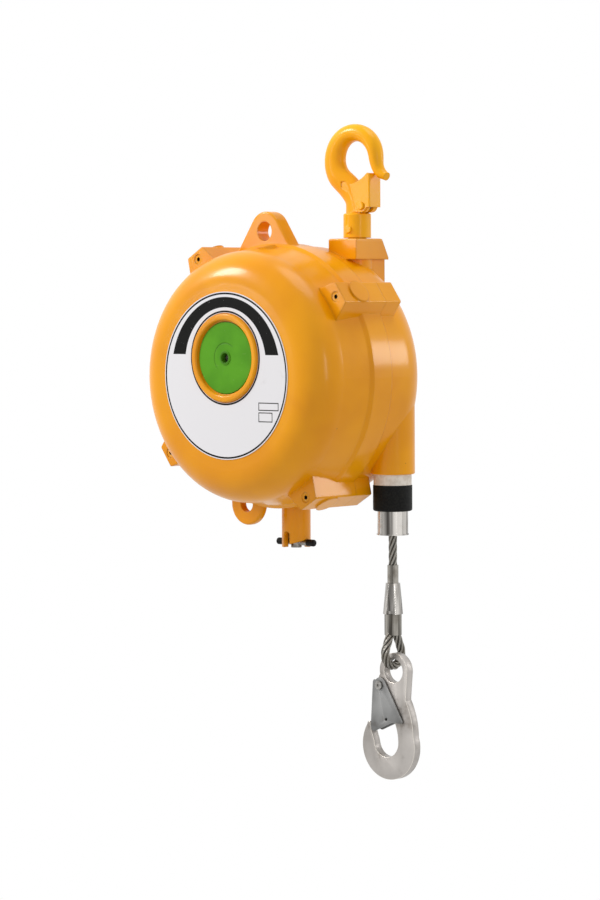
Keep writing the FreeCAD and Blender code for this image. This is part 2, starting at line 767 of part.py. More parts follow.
def bearing(y0):
    """Deep-groove ball bearing: two races and the balls in their tracks."""
    mid_r = (bearing_out_r + journal_r) / 2
    y_mid = y0 + bearing_w / 2
    track = Part.makeTorus(mid_r, ball_r + 0.05, V(body_x, y_mid, drum_z), V(0, 1, 0))
    outer = tube_y(bearing_out_r, mid_r + 1.9, body_x, drum_z, y0, y0 + bearing_w).cut(track)
    inner = tube_y(mid_r - 1.9, journal_r, body_x, drum_z, y0, y0 + bearing_w).cut(track)
    pieces = [outer, inner]
    for k in range(balls):
        x, z = arc_point(body_x, drum_z, mid_r, 360 / balls * k)
        pieces.append(Part.makeSphere(ball_r, V(x, y_mid, z)))
    return Part.makeCompound(pieces)


# ---- worm drive -------------------------------------------------------------------------
worm_pitch = math.pi * worm_module
lead_angle = math.degrees(math.atan2(worm_pitch, 2 * math.pi * worm_pitch_r))
addendum = worm_module * 0.85
worm_root_r = worm_pitch_r - worm_module * 1.15
flank = math.tan(math.radians(20))


def worm_shaft():
    """Single-start worm on its shaft, with a hexagon socket in the head under the access hole."""
    shaft = Part.makeCylinder(worm_shaft_r, worm_top - 6 + worm_tail, V(0, 0, -worm_tail))
    core = Part.makeCylinder(worm_root_r, worm_length, V(0, 0, -worm_length / 2))
    head = Part.makeCylinder(worm_head_r, 10, V(0, 0, worm_top - 10))
    r = worm_hex / math.sqrt(3)
    hexagon = [V(*arc_point(0, 0, r, 60 * k), worm_top - 6) for k in range(7)]
    head = head.cut(Part.Face(Part.makePolygon(hexagon)).extrude(V(0, 0, 7)))
    half_root = worm_pitch / 4 - backlash / 2 + flank * (worm_pitch_r - worm_root_r)
    half_tip = worm_pitch / 4 - backlash / 2 - flank * addendum
    low_r = worm_root_r - 0.3
    high_r = worm_pitch_r + addendum
    turns = math.floor((worm_length - 3 * half_root) / worm_pitch)
    height = turns * worm_pitch
    tooth = Part.makePolygon([V(low_r, 0, -half_root), V(high_r, 0, -half_tip), V(high_r, 0, half_tip),
                              V(low_r, 0, half_root), V(low_r, 0, -half_root)])
    helix = Part.Wire(Part.makeHelix(worm_pitch, height, worm_root_r))
    thread = helix.makePipeShell([tooth], True, True)
    # start the thread so that it stands in a tooth space of the wheel at the foot point
    thread.translate(V(0, 0, -height / 2))
    worm = shaft.fuse([core, head]).fuse(thread)
    worm.rotate(V(0, 0, 0), V(0, 0, 1), 180 + 180 * (turns % 2))
    worm.rotate(V(0, 0, 0), V(0, 1, 0), -foot_angle)
    worm.translate(worm_foot)
    return worm


def worm_wheel():
    """Thirty slanted teeth round a hub that is keyed on the arbor."""
    tip_r = wheel_pitch_r + addendum
    root_r = wheel_pitch_r - worm_module * 1.15
    half_width = wheel_width / 2
    blank = cyl_y(tip_r, 0, 0, -half_width, half_width)
    space_pitch = worm_pitch / 4 + backlash / 4
    rows = []
    for y in (-half_width - 0.5, half_width + 0.5):
        shift = -math.degrees(y * math.tan(math.radians(lead_angle)) / wheel_pitch_r)
        pts = []
        for r, half in ((root_r, space_pitch - flank * (wheel_pitch_r - root_r)),
                        (tip_r + 0.6, space_pitch + flank * (addendum + 0.6))):
            turn = math.degrees(half / wheel_pitch_r)
            pts.append((r, turn))
        corners = [(pts[0][0], -pts[0][1]), (pts[1][0], -pts[1][1]), (pts[1][0], pts[1][1]),
                   (pts[0][0], pts[0][1])]
        loop = [arc_point(0, 0, r, t + shift) for r, t in corners]
        rows.append(Part.makePolygon([V(x, y, z) for x, z in loop + loop[:1]]))
    gap = Part.makeLoft(rows, True, True)
    gaps = []
    for k in range(wheel_teeth):
        one = gap.copy()
        one.rotate(V(0, 0, 0), V(0, 1, 0), 360 / wheel_teeth * k)
        gaps.append(one)
    wheel = blank.cut(Part.makeCompound(gaps))
    wheel = wheel.fuse(cyl_y(wheel_hub_r, 0, 0, -half_width - wheel_hub_front, half_width + 1))
    wheel = wheel.cut(cyl_y(arbor_seat_r + seat_gap, 0, 0, -30, 30))
    wheel.rotate(V(0, 0, 0), V(0, 1, 0), -foot_angle)
    wheel.translate(V(body_x, worm_y, drum_z))
    return wheel


def worm_bushes():
    low = along_worm(worm_bush_r, *bush_low).cut(along_worm(worm_shaft_r + running, -60, 60))
    high = along_worm(worm_bush_r, *bush_high).cut(along_worm(worm_shaft_r + running, -60, 60))
    return Part.makeCompound([low, high])


# ---- front face -------------------------------------------------------------------------
def front_label():
    plate = cyl_y(label_r, body_x, drum_z - label_rise, cover_front - label_thick, cover_front)
    return plate.cut(cyl_y(label_hole_r, body_x, drum_z, cover_front - 2, cover_front + 1))


def green_cap():
    back = cover_front + cap_recess
    disc = cyl_y(cap_r, body_x, drum_z, back - cap_thick, back)
    disc = rounded(disc, 0.6, lambda c, e: c.y < back - cap_thick + 0.1)
    rim = cyl_y(cap_hole_r + 1.6, body_x, drum_z, back - cap_thick - 0.5, back)
    return disc.fuse(rim).cut(cyl_y(cap_hole_r, body_x, drum_z, back - cap_thick - 2, back + 1))


# ---- suspension hook --------------------------------------------------------------------
bowl_z = bowl_top - bowl_r


def hook_section(x, z, heading, half, half_y):
    """Ellipse across the hook's centre line, which runs towards heading degrees in X, Z."""
    a = math.radians(heading)
    along = V(math.cos(a), 0, math.sin(a))
    across = V(-math.sin(a), 0, math.cos(a))
    major, minor = (half, half_y) if half >= half_y else (half_y, half)
    major_dir = across if half >= half_y else V(0, 1, 0)
    ellipse = Part.Ellipse(V(0, 0, 0), major, minor)
    edge = ellipse.toShape()
    place = FreeCAD.Placement(V(x, 0, z), FreeCAD.Rotation(major_dir, along.cross(major_dir), along, "XZY"))
    edge.Placement = place
    return Part.Wire(edge)


def top_hook():
    """Forged hook: the section is deepest at the back of the bowl and thins to the nose."""
    rows = [(0, neck_bottom, 90, neck_half, neck_half_y), (0, -46, 92, neck_half, neck_half_y),
            (-3.5, -38.5, 122, 9.8, neck_half_y), (-11.5, -30.5, 133, 9.5, 5.6)]
    for turn, half in ((205, 9.3), (180, bowl_back), (150, 8.3), (120, 7.3), (90, bowl_top), (60, 6.2),
                       (30, 5.8), (0, bowl_nose)):
        x, z = arc_point(bowl_x, bowl_z, bowl_r, turn)
        rows.append((x, z, turn - 90, half, hook_half_y if turn > 20 else 5.6))
    rows += [(20.6, -20.2, -62, 4.6, 4.8), (24.4, -24.6, -36, 3.9, 4.2), (29.0, -26.8, -20, 3.1, 3.3)]
    hook = Part.makeLoft([hook_section(*row) for row in rows], True, False)
    hook = hook.fuse(cyl_y(latch_boss_r, latch_pin_x, latch_pin_z, -neck_half_y, neck_half_y))
    link = flat_piece([(2, latch_pin_z - latch_boss_r), (latch_pin_x, latch_pin_z - latch_boss_r),
                       (latch_pin_x, latch_pin_z + latch_boss_r), (2, latch_pin_z + latch_boss_r)],
                      -neck_half_y, neck_half_y)
    hook = hook.fuse(link)
    for side in (-1, 1):
        flat = box(-neck_half - 1, neck_half + 6, 0, 5, neck_bottom - 1, latch_flat_top)
        hook = hook.cut(flat.translated(V(0, side * (neck_half_y + 2.53) - 2.5, 0)))
    floor = hanger_top - hanger_floor
    thread_end = floor - 0.1 - washer_h - nut_h - 1.5
    shank = cyl_z(shank_r, 0, 0, floor + 0.5, neck_bottom + 1)
    shank = shank.fuse(cyl_z(shank_thread_r, 0, 0, thread_end, floor + 1))
    hook = hook.fuse(shank)
    spring_r = latch_pin_r + 2 * latch_wire_r + body_gap
    hook = hook.cut(box(latch_pin_x - spring_r, latch_pin_x + latch_boss_r + 1, -latch_slot, latch_slot,
                        latch_pin_z - latch_boss_r - 1, latch_pin_z + latch_boss_r + 1))
    hook = hook.cut(cyl_y(latch_pin_r + 0.02, latch_pin_x, latch_pin_z, -10, 10))
    return hook.cut(cyl_y(collar_pin_r + 0.02, 0, collar_pin_z, -12, 12))


def hook_latch():
    """Folded sheet latch: two cheeks astride the neck and a back across the throat."""
    inner = neck_half_y + body_gap
    outer = inner + latch_sheet
    slim = latch_out_x - latch_sheet
    side = [(latch_out_x, latch_foot_z), (latch_out_x, latch_top_z),
            (latch_out_x - 2.4, latch_top_z + 0.4),
            ((7.2, -29.2), (-1.8, -31.8)), (4.6, -49.6), ((6.6, -52.3), (9.8, -52.6)),
            ((13.2, -50.8), (14.2, latch_foot_z))]
    cheeks = flat_piece(side, -outer, outer)
    hollow = box(-30, slim, -inner, inner, -60, 0)
    latch = cheeks.cut(hollow)
    latch = rounded(latch, 1.0, lambda c, e: c.x > latch_out_x - 0.1 and abs(c.y) > outer - 0.1)
    return latch.cut(cyl_y(latch_pin_r + running, latch_pin_x, latch_pin_z, -12, 12))


def torsion_spring(x, z, pin_r, wire_r, half, leg, leg_side):
    """Close coils round a latch's pin, and one leg that lies along the latch's back."""
    coil_r = pin_r + wire_r + 0.1
    rows = 4
    step = (2 * half - 2 * wire_r - 2 * body_gap) / (rows - 1)
    rings = [Part.makeTorus(coil_r, wire_r, V(x, (k - (rows - 1) / 2) * step, z), V(0, 1, 0))
             for k in range(rows)]
    start = V(x + leg_side * coil_r, (rows - 1) / 2 * step, z)
    rings.append(Part.makeCylinder(wire_r, leg.Length, start, leg))
    return rings[0].fuse(rings[1:])


def hook_latch_spring():
    return torsion_spring(latch_pin_x, latch_pin_z, latch_pin_r, latch_wire_r, latch_slot,
                          V(3.4, 0, 14), 1)


def latch_rivet():
    face = neck_half_y + body_gap + latch_sheet + 0.15
    shaft = cyl_y(latch_pin_r, latch_pin_x, latch_pin_z, -face, face)
    heads = [cyl_y(3.0, latch_pin_x, latch_pin_z, -face - 1.3, -face),
             cyl_y(3.0, latch_pin_x, latch_pin_z, face, face + 1.3)]
    heads = [rounded(h, 0.8, lambda c, e: abs(c.y) > face + 1.2) for h in heads]
    return shaft.fuse(heads)


def hook_collar():
    collar = tube_z(collar_r, shank_r + seat_gap, 0, 0, collar_bottom, neck_bottom - 0.05)
    collar = rounded(collar, 1.4, lambda c, e: c.z > neck_bottom - 0.2
                     and e.BoundBox.XLength > 2 * shank_r + 1)
    return collar.cut(cyl_y(collar_pin_r + 0.02, 0, collar_pin_z, -12, 12))


def collar_pin():
    pin = cyl_y(collar_pin_r, 0, collar_pin_z, -collar_r + 0.3, collar_r - 0.3)
    head_y = -collar_r - 0.9
    head = cyl_y(collar_pin_head_r, 0, collar_pin_z, head_y, head_y + 2.0)
    head = rounded(head, 0.8, lambda c, e: c.y < head_y + 0.1)
    slot_for_collar = cyl_z(collar_r + 0.02, 0, 0, collar_bottom, neck_bottom)
    return head.cut(slot_for_collar).fuse(pin)


def hook_washer():
    top = hanger_top - hanger_floor - 0.1
    return tube_z(nut_r, shank_thread_r + seat_gap, 0, 0, top - washer_h, top)


def hook_nut():
    top = hanger_top - hanger_floor - 0.1 - washer_h
    nut = tube_z(nut_r, shank_thread_r + seat_gap, 0, 0, top - nut_h, top)
    for k in range(6):
        cut = box(-1.5, 1.5, nut_r - 1.6, nut_r + 1, top - nut_h - 1, top - nut_h + 4)
        cut.rotate(V(0, 0, 0), V(0, 0, 1), 60 * k)
        nut = nut.cut(cut)
    return nut


# ---- load line --------------------------------------------------------------------------
def guide_ring():
    """Nylon rope guide: a flange below the tower and a spigot inside it, flared for the rope."""
    ring = cyl_z(guide_r, rope_x, 0, tower_bottom - guide_h, tower_bottom - 0.05)
    spigot = cyl_z(guide_spigot_r, rope_x, 0, tower_bottom - 0.05, tower_bottom + guide_spigot_h)
    ring = ring.fuse(spigot).cut(cyl_z(guide_bore_r, rope_x, 0, tower_bottom - 20, tower_bottom + 20))
    flare = Part.makeCone(guide_bore_r, guide_spigot_r - 1.5, guide_flare_h,
                          V(rope_x, 0, tower_bottom + guide_spigot_h - guide_flare_h))
    return ring.cut(flare)


bumper_top = tower_bottom - guide_h - body_gap
bumper_bottom = bumper_top - bumper_h


def rubber_bumper():
    bumper = tube_z(bumper_r, rope_r + seat_gap, rope_x, 0, bumper_bottom, bumper_top)
    bumper = rounded(bumper, 1.6, lambda c, e: c.z < bumper_bottom + 0.1
                     and e.BoundBox.XLength > 2 * sleeve_r)
    return bumper.cut(cyl_z(sleeve_r + seat_gap, rope_x, 0, bumper_bottom - 1, bumper_bottom + sleeve_lap))


def stop_sleeve():
    top = bumper_bottom + sleeve_lap - 0.05
    sleeve = cyl_z(sleeve_r, rope_x, 0, sleeve_bottom, top)
    sleeve = sleeve.fuse(cyl_z(sleeve_r + sleeve_lip, rope_x, 0, sleeve_bottom, sleeve_bottom + 1.0))
    return sleeve.cut(cyl_z(rope_r + seat_gap, rope_x, 0, sleeve_bottom - 1, top + 1))


def rope_tail():
    return cyl_z(rope_r, rope_x, 0, crimp_bottom + 0.02, bumper_top)


def small_ferrule():
    return tube_z(ferrule_r, rope_r + seat_gap, rope_x, 0, cone_top + 0.05, tail_bottom)


def cone_sleeve():
    """Tapered sleeve with the inspection notch that shows the rope's dead end."""
    height = cone_top - crimp_top
    cone = Part.makeCone(cone_bottom_r, cone_top_r, height - 0.05, V(rope_x, 0, crimp_top + 0.05))
    cone = cone.cut(cyl_z(rope_r + seat_gap, rope_x, 0, crimp_top - 1, cone_top + 1))
    notch = box(-2.6, 2.6, -cone_bottom_r - 1, -rope_r - 1.2, crimp_top, crimp_top + 2.6)
    notch.rotate(V(0, 0, 0), V(0, 0, 1), 18)
    notch.translate(V(rope_x, 0, 0))
    return cone.cut(notch)


def crimp_sleeve():
    sleeve = tube_z(crimp_r, rope_r + seat_gap, rope_x, 0, crimp_bottom + 2.0, crimp_top)
    foot = cyl_z(crimp_r, rope_x, 0, crimp_bottom, crimp_bottom + 2.0)
    foot = foot.cut(cyl_z(rope_r + seat_gap, rope_x, 0, crimp_bottom + 0.02, crimp_bottom + 3))
    return sleeve.fuse(foot)


def rope_eye():
    """Loop of the rope under the crimp, a teardrop of two straight legs and one bend."""
    rise = crimp_bottom - eye_bend_z
    reach = math.hypot(eye_start_y, rise)
    lean = math.atan2(rise, eye_start_y) - math.acos(eye_bend_r / reach)
    tan_y, tan_z = eye_bend_r * math.cos(lean), eye_bend_z + eye_bend_r * math.sin(lean)
    print("rope eye bend radius", eye_bend_r)
    eye = tube_along([V(rope_x, eye_start_y, crimp_bottom), V(rope_x, tan_y, tan_z),
                      (V(rope_x, 0, eye_bend_z - eye_bend_r), V(rope_x, -tan_y, tan_z)),
                      V(rope_x, -eye_start_y, crimp_bottom)], rope_r)
    above = crimp_bottom - seat_gap
    return eye.cut(box(rope_x - crimp_r, rope_x + crimp_r, -2 * crimp_r, 2 * crimp_r, above, above + crimp_r))


def rope_run():
    """Stretch of rope from the drum's smallest turn down into the guide."""
    y, r = turn_place(rope_turns - 1)
    start = V(body_x + r, y, drum_z)
    end_z = tower_bottom + guide_spigot_h + 2
    bend = V(rope_x, 0, end_z)
    span = bend - start
    down = V(0, 0, -1)
    direct = V(span).normalize()
    start = start + direct * run_clear
    turn = direct.getAngle(down)
    cut = run_bend_r * math.tan(turn / 2)
    p1 = bend - direct * cut
    p2 = bend + down * cut
    middle_dir = (V(direct) * -1 + down).normalize()
    rise = run_bend_r / math.cos(turn / 2) - run_bend_r
    mid = bend + middle_dir * rise
    print("rope run bend radius", run_bend_r)
    return tube_along([start, p1, (mid, p2), V(rope_x, 0, bumper_top + 0.02)], rope_r)


# ---- load hook --------------------------------------------------------------------------
def load_hook():
    """Flat plate hook with a rope eye, a lug for the latch pin and a round bowl."""
    x, z = safety_x, safety_z
    lug = safety_lug_r
    outline = [
        (11.4, -20.8), ((16.8, -34.0), (18.9, -48.5)), ((-4.0, -81.5), (-30.2, -58.0)),
        ((-29.0, -48.5), (-25.6, -41.4)), ((-23.9, -39.6), (-22.4, -41.2)), (-21.6, -46.5),
        (-18.8, -54.5), ((-7.2, -65.0), (4.4, -53.4)), ((3.0, -43.5), (-1.5, -34.0)),
        (-9.6, z - lug + 0.6), ((x - lug * 0.55, z - lug * 0.83), (x - lug, z)),
        ((x - lug * 0.75, z + lug * 0.66), (-13.0, -3.0)), ((0, eye_r), (eye_r, 0)),
    ]
    plate = flat_piece(outline, -plate_half, plate_half, eye_x, eye_z)
    plate = plate.cut(cyl_y(eye_hole_r, eye_x, eye_z, -9, 9))
    slot = box(eye_x + x - lug - 2, eye_x + x + lug, -safety_slot, safety_slot, eye_z + z - lug - 0.5,
               eye_z + z + lug)
    plate = plate.cut(slot)
    return plate.cut(cyl_y(safety_pin_r + 0.02, eye_x + x, eye_z + z, -9, 9))


def load_latch():
    """Folded sheet latch: a back across the throat and two cheeks over the plate."""
    inner = plate_half + body_gap
    outer = inner + safety_sheet
    side = [(-18.7, -9.4), ((-17.6, -7.6), (-15.6, -7.4)), ((-11.2, -5.6), (-7.2, -8.4)),
            (9.4, -36.0), ((9.6, -38.0), (7.4, -38.4)), (-0.8, -38.7), (-17.4, -46.2),
            (-19.6, -45.6), (-20.9, -43.2)]
    cheeks = flat_piece(side, -outer, outer, eye_x, eye_z)
    hollow = flat_piece([(-17.35, 0), (-17.35, -9.4), (-19.55, -43.2), (-19.9, -52), (20, -52), (20, 0)],
                        -inner, inner, eye_x, eye_z)
    latch = cheeks.cut(hollow)
    hole = cyl_y(1.3, eye_x - 6.0, eye_z - 36.4, -9, 9)
    return latch.cut(cyl_y(safety_pin_r + running, eye_x + safety_x, eye_z + safety_z, -9, 9)).cut(hole)


def load_latch_pin():
    face = plate_half + body_gap + safety_sheet + 0.15
    x, z = eye_x + safety_x, eye_z + safety_z
    pin = cyl_y(safety_pin_r, x, z, -face, face)
    heads = [cyl_y(safety_head_r, x, z, -face - 1.0, -face), cyl_y(safety_head_r, x, z, face, face + 1.0)]
    pin = pin.fuse(heads)
    for y in (-face - 1.1, face + 0.4):
        pin = pin.cut(cyl_y(1.0, x, z, y, y + 0.7))
    return pin


def load_latch_spring():
    return torsion_spring(eye_x + safety_x, eye_z + safety_z, safety_pin_r, safety_wire_r, safety_slot,
                          V(-2.6, 0, -9.65), -1)


# ---- write ------------------------------------------------------------------------------
nodes = {
    "front_cover": front_cover, "rear_case": rear_case, "case_screws": case_screws,
    "front_label": front_label, "green_cap": green_cap,
    "front_bearing": lambda: bearing(bearing_front_y), "rear_bearing": lambda: bearing(bearing_rear_y),
    "arbor": arbor, "worm_wheel": worm_wheel, "worm_shaft": worm_shaft, "worm_bushes": worm_bushes,
    "drum": drum, "drum_lid": drum_lid, "drum_bushes": drum_bushes, "power_spring": power_spring,
    "rope_on_drum": rope_on_drum, "guide_ring": guide_ring, "lock_pin": lock_pin, "lock_bar": lock_bar,
    "lock_grips": lock_grips, "lock_collar": lock_collar, "lock_seat": lock_seat,
    "lock_spring": lock_spring, "top_hook": top_hook, "hook_latch_spring": hook_latch_spring,
    "hook_collar": hook_collar, "collar_pin": collar_pin, "hook_washer": hook_washer,
    "hook_nut": hook_nut, "hook_latch": hook_latch, "latch_rivet": latch_rivet, "rope_run": rope_run,
    "rubber_bumper": rubber_bumper, "stop_sleeve": stop_sleeve, "rope_tail": rope_tail,
    "small_ferrule": small_ferrule, "cone_sleeve": cone_sleeve, "crimp_sleeve": crimp_sleeve,
    "rope_eye": rope_eye, "load_hook": load_hook, "load_latch": load_latch,
    "load_latch_pin": load_latch_pin, "load_latch_spring": load_latch_spring,
}
for name, make in nodes.items():
    shape = make()
    solids = shape.Solids
    print(f"{name:18s} solids {len(solids):3d}  volume {shape.Volume:12.1f}  valid {shape.isValid()}")
    shape.exportStep(f"parts/{name}.step")
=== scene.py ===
import math
import bpy
import bmesh
import numpy as np
from mathutils import Matrix


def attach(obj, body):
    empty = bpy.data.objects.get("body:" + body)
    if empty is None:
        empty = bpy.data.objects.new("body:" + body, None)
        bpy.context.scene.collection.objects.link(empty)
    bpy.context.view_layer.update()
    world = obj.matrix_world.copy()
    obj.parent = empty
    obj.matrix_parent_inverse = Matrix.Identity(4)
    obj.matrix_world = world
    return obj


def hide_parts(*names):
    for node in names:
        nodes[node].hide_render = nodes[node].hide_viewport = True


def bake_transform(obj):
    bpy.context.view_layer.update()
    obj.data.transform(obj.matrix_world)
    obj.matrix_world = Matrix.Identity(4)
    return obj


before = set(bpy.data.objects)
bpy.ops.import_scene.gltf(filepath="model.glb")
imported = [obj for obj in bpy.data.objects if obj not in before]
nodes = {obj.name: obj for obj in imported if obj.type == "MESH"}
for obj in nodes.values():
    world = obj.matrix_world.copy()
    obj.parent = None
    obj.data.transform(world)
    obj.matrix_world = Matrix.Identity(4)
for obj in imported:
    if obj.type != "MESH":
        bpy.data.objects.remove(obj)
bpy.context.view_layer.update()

print("frame loaded with", len(nodes), "nodes")


# a value on its way through a shader: sums and products of these add Math nodes
class Wire:
    def __init__(self, paint, socket):
        self.paint, self.socket = paint, socket

    def math(self, operation, a, b=0.0):
        return self.paint.node("ShaderNodeMath", {"operation": operation}, {0: a, 1: b})

    def __add__(self, other): return self.math("ADD", self, other)
    def __radd__(self, other): return self.math("ADD", other, self)
    def __sub__(self, other): return self.math("SUBTRACT", self, other)
    def __rsub__(self, other): return self.math("SUBTRACT", other, self)
    def __mul__(self, other): return self.math("MULTIPLY", self, other)
    def __rmul__(self, other): return self.math("MULTIPLY", other, self)
    def __pow__(self, other): return self.math("POWER", self, other)
    def __abs__(self): return self.math("ABSOLUTE", self)

    def sine(self): return self.math("SINE", self)

    # 0 below low, 1 above high, eased between
    def ease(self, low, high, start=0.0, end=1.0):
        return self.paint.node("ShaderNodeMapRange", {"interpolation_type": "SMOOTHSTEP"},
                               {"Value": self, "From Min": low, "From Max": high,
                                "To Min": start, "To Max": end})


class Paint:
    def __init__(self, name):
        self.material = bpy.data.materials.new(name)
        self.material.use_nodes = True
        self.tree = self.material.node_tree
        self.tree.nodes.clear()
        self.output = self.tree.nodes.new("ShaderNodeOutputMaterial")
        place = self.node("ShaderNodeTexCoord", {}, {}, "Object")
        self.place = place
        split = self.tree.nodes.new("ShaderNodeSeparateXYZ")
        self.tree.links.new(place.socket, split.inputs[0])
        self.x, self.y, self.z = (Wire(self, split.outputs[i]) for i in range(3))

    def node(self, kind, settings, sockets, out=0):
        made = self.tree.nodes.new(kind)
        for key, value in settings.items():
            setattr(made, key, value)
        for key, value in sockets.items():
            if isinstance(value, Wire):
                self.tree.links.new(value.socket, made.inputs[key])
            else:
                made.inputs[key].default_value = value
        return Wire(self, made.outputs[out])

    def noise(self, scale, detail=2.0, rough=0.5, stretch=None):
        where = self.place if stretch is None else self.stretched(stretch)
        return self.node("ShaderNodeTexNoise", {}, {"Vector": where, "Scale": scale, "Detail": detail,
                                                    "Roughness": rough})

    def stretched(self, scales):
        return self.node("ShaderNodeVectorMath", {"operation": "MULTIPLY"}, {0: self.place, 1: scales})

    def mix(self, factor, a, b):
        return self.node("ShaderNodeMix", {"data_type": "RGBA"},
                         {0: factor, 6: rgba(a), 7: rgba(b)}, 2)

    # relief of a height, on top of edges rounded to a radius where one is given
    def bump(self, height, distance, rounded=0.0):
        sockets = {"Height": height, "Distance": distance}
        if rounded:
            sockets["Normal"] = self.node("ShaderNodeBevel", {"samples": 6}, {"Radius": rounded})
        return self.node("ShaderNodeBump", {}, sockets)

    # distance in the x-z plane from a centre, in metres
    def reach(self, cx, cz):
        return ((self.x - cx) * (self.x - cx) + (self.z - cz) * (self.z - cz)) ** 0.5

    def finish(self, color, rough, metal=0.0, normal=None, **fixed):
        sockets = {"Base Color": rgba(color), "Roughness": rough, "Metallic": metal}
        if normal is not None:
            sockets["Normal"] = normal
        sockets.update({key.replace("_", " "): value for key, value in fixed.items()})
        shader = self.node("ShaderNodeBsdfPrincipled", {}, sockets)
        self.tree.links.new(shader.socket, self.output.inputs[0])
        return self.material


def rgba(color):
    return (*color, 1.0) if isinstance(color, tuple) and len(color) == 3 else color


# screen values 0-255 as linear light
def tone(r, g, b):
    def linear(v):
        v = v / 255
        return v / 12.92 if v <= 0.04045 else ((v + 0.055) / 1.055) ** 2.4
    return (linear(r), linear(g), linear(b))


def dress(material, *names):
    for name in names:
        target = nodes[name]
        if not target.material_slots:
            target.data.materials.append(material)
        for place in target.material_slots:
            place.material = material


# an object that carries the given mesh, lamp or camera, in the scene
def placed(name, data):
    made = bpy.data.objects.new(name, data)
    bpy.context.scene.collection.objects.link(made)
    return made


# faces turned outwards, after points closer than "merge" are joined and flat faces are joined
def faced(mesh, merge=0.0, flat=0.0):
    work = bmesh.new()
    work.from_mesh(mesh)
    if merge:
        bmesh.ops.remove_doubles(work, verts=work.verts, dist=merge)
    if flat:
        bmesh.ops.dissolve_limit(work, angle_limit=math.radians(flat), verts=work.verts,
                                 edges=work.edges)
    bmesh.ops.recalc_face_normals(work, faces=work.faces)
    work.to_mesh(mesh)
    work.free()


# a solid's loose triangles joined where their points are this close, in metres
mergeWithin = 2e-6


# shells and hooks: gloss enamel; the upper hook's tones are set lighter than the shells', painted light
# standing in for the stronger light on the hook
shellLook = {"light": tone(240, 160, 0), "deep": tone(228, 146, 0), "chip": tone(96, 66, 34),
             "rough": 0.3, "coat": 0.36, "chipFrom": 0.725, "peel": 0.00006, "edge": 0.0018}
hookPaintedLightLook = {"light": tone(254, 182, 12), "deep": tone(247, 170, 8), "chip": tone(110, 84, 58),
            "rough": 0.3, "coat": 0.26, "chipFrom": 0.7, "peel": 0.00010, "edge": 0.0008}


# how fine each noise of the enamel is: waves per metre, about
enamelGrain = {"drift": 14.0, "peel": 520.0, "ripple": 170.0, "chips": 330.0, "chipAreas": 26.0}


# slow colour drift, fine orange peel, and chips where a fine noise passes a threshold
def enamel(name, look):
    p = Paint(name)
    grain = enamelGrain
    drift = p.noise(grain["drift"], 3.0)
    peel = p.noise(grain["peel"], 2.0) + 0.5 * p.noise(grain["ripple"], 1.0)
    chips = p.noise(grain["chips"], 5.0, 0.62).ease(look["chipFrom"], look["chipFrom"] + 0.012)
    where = p.noise(grain["chipAreas"], 2.0).ease(0.52, 0.6)
    chips = chips * where
    color = p.mix(chips, p.mix(drift.ease(0.35, 0.65), look["light"], look["deep"]), look["chip"])
    normal = p.bump(peel - 0.8 * chips, look["peel"], look["edge"])
    rough = look["rough"] + 0.08 * drift + 0.35 * chips
    return p.finish(color, rough, 0.0, normal, Coat_Weight=look["coat"], Coat_Roughness=0.17,
                    Specular_IOR_Level=0.1)


dress(enamel("shellEnamel", shellLook), "front_cover", "rear_case")
# the upper hook takes the lighter copy of the enamel, a painted light
dress(enamel("hookEnamelPaintedLight", hookPaintedLightLook), "top_hook", "hook_collar", "collar_pin", "hook_latch",
      "latch_rivet")
print("enamel on the shells and the upper hook")

# label plate
labelLook = {"centre": (-0.042, -0.1722), "cap": (-0.042, -0.1592), "plate": tone(231, 229, 231),
             "ink": tone(12, 12, 11), "line": (0.0594, 0.0607), "ring": (0.0333, 0.0346),
             "archOut": (0.0035, 0.0540), "archIn": (0.0096, 0.0403), "archFoot": 0.0154,
             "boxes": [(0.0329, 0.0526, -0.0248, -0.0189), (0.0329, 0.0466, -0.0331, -0.0260)],
             "boxLine": 0.0007, "soft": 0.00012, "scuffed": tone(196, 192, 190)}


# printed areas are differences of eased discs and boxes about the label's centre
def labelPrint(look):
    p = Paint("labelPrint")
    cx, cz = look["centre"]
    soft = look["soft"]

    def disc(x, z, radius):
        return p.reach(x, z).ease(radius - soft, radius + soft, 1.0, 0.0)

    def box(x0, x1, z0, z1):
        across = (p.x - cx).ease(x0 - soft, x0 + soft) * (p.x - cx).ease(x1 - soft, x1 + soft, 1.0, 0.0)
        up = (p.z - cz).ease(z0 - soft, z0 + soft) * (p.z - cz).ease(z1 - soft, z1 + soft, 1.0, 0.0)
        return across * up

    edge = disc(cx, cz, look["line"][1]) * (1 - disc(cx, cz, look["line"][0]))
    ring = disc(*look["cap"], look["ring"][1]) * (1 - disc(*look["cap"], look["ring"][0]))
    arch = disc(cx, cz + look["archOut"][0], look["archOut"][1])
    arch = arch * (1 - disc(cx, cz + look["archIn"][0], look["archIn"][1]))
    arch = arch * (p.z - cz).ease(look["archFoot"] - soft, look["archFoot"] + soft)
    ink = edge + ring + arch
    for x0, x1, z0, z1 in look["boxes"]:
        t = look["boxLine"]
        ink = ink + box(x0, x1, z0, z1) * (1 - box(x0 + t, x1 - t, z0 + t, z1 - t))
    ink = ink.math("MINIMUM", ink, 1.0)
    scuff = p.noise(60.0, 5.0, 0.65).ease(0.6, 0.75)
    worn = p.noise(700.0, 3.0, 0.6).ease(0.72, 0.74)
    plate = p.mix(scuff * 0.25, look["plate"], look["scuffed"])
    color = p.mix(ink * (1 - 0.7 * worn), plate, look["ink"])
    return p.finish(color, 0.34 + 0.12 * scuff, 0.0, p.bump(p.noise(300.0, 2.0), 0.00002),
                    Specular_IOR_Level=0.08)


dress(labelPrint(labelLook), "front_label")

capLook = {"centre": (-0.042, -0.1592), "light": tone(88, 158, 24), "deep": tone(76, 144, 16),
           "dark": tone(40, 80, 14), "worn": tone(150, 176, 110), "step": 0.0106, "hole": 0.0042}
